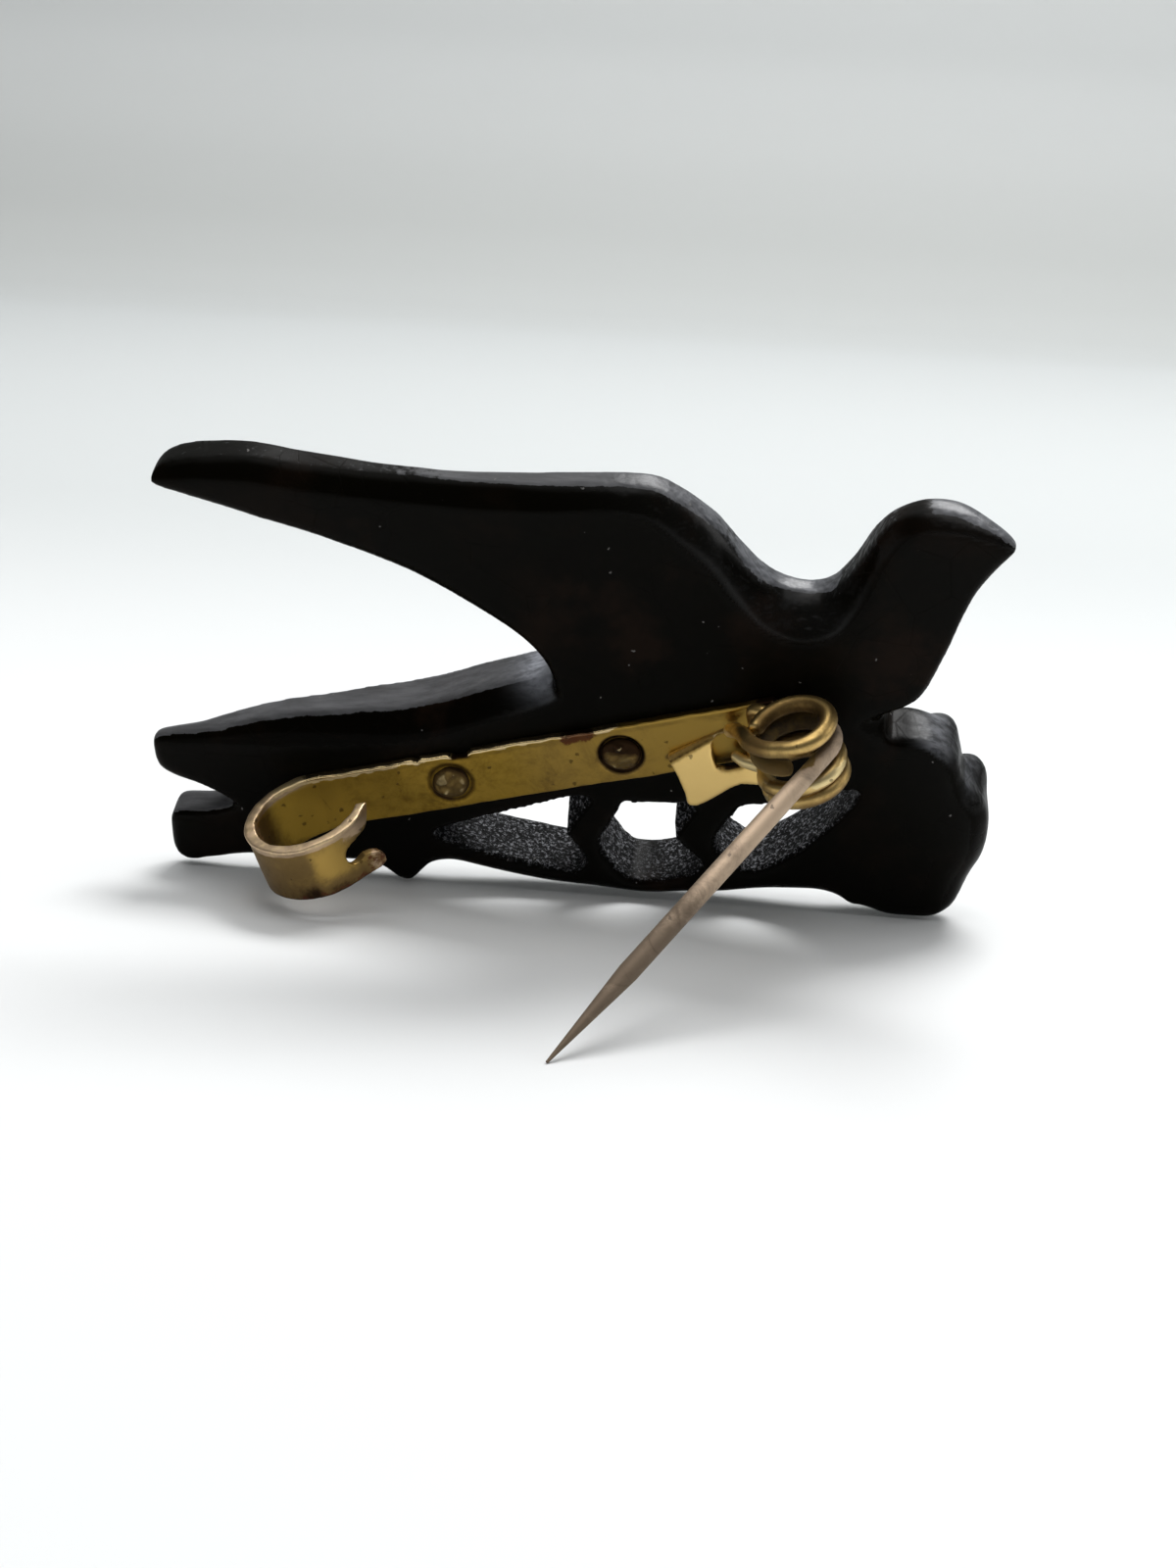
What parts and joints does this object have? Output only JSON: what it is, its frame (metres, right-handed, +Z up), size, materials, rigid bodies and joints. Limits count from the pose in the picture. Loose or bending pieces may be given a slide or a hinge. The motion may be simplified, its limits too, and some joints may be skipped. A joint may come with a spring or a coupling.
{
  "type": "carved wooden brooch",
  "caption": "Carved dark wood brooch of a flying bird over a flower branch, with a riveted brass strip that carries a forked catch and a sprung, swinging needle.",
  "frame": {"origin": "middle of the standing brooch's box, on the floor it stands on", "axes": "+X from the wing's tip towards the beak, +Z up, -Y towards the pin's point and the side with the clasp"},
  "size_m": [0.0506, 0.0332, 0.0281],
  "materials": {
    "dark_wood": "black stained, waxed, satin with worn edges",
    "sheet_brass": "rolled sheet, tarnished olive to brown, bright cut edges",
    "rivet_brass": "hammered and tarnished",
    "spring_wire": "drawn wire, brown tarnish",
    "needle_wire": "drawn wire, dull taupe tarnish"
  },
  "bodies": {
    "brooch": {"carved_bird": "dark_wood", "back_plate": "sheet_brass", "rivet_left": "rivet_brass", "rivet_right": "rivet_brass", "spring_coil": "spring_wire"},
    "pin": {"pin_needle": "needle_wire"}
  },
  "joints": [
    {"name": "pin_swing", "type": "hinge", "parent": "brooch", "child": "pin", "pos_m": [0.01337, 0.00327, 0.01275], "axis": [-0.284, -0.3746, 0.8826], "range_deg": [-59.9, 0], "stiffness_Nm_per_rad": 0.05}
  ]
}
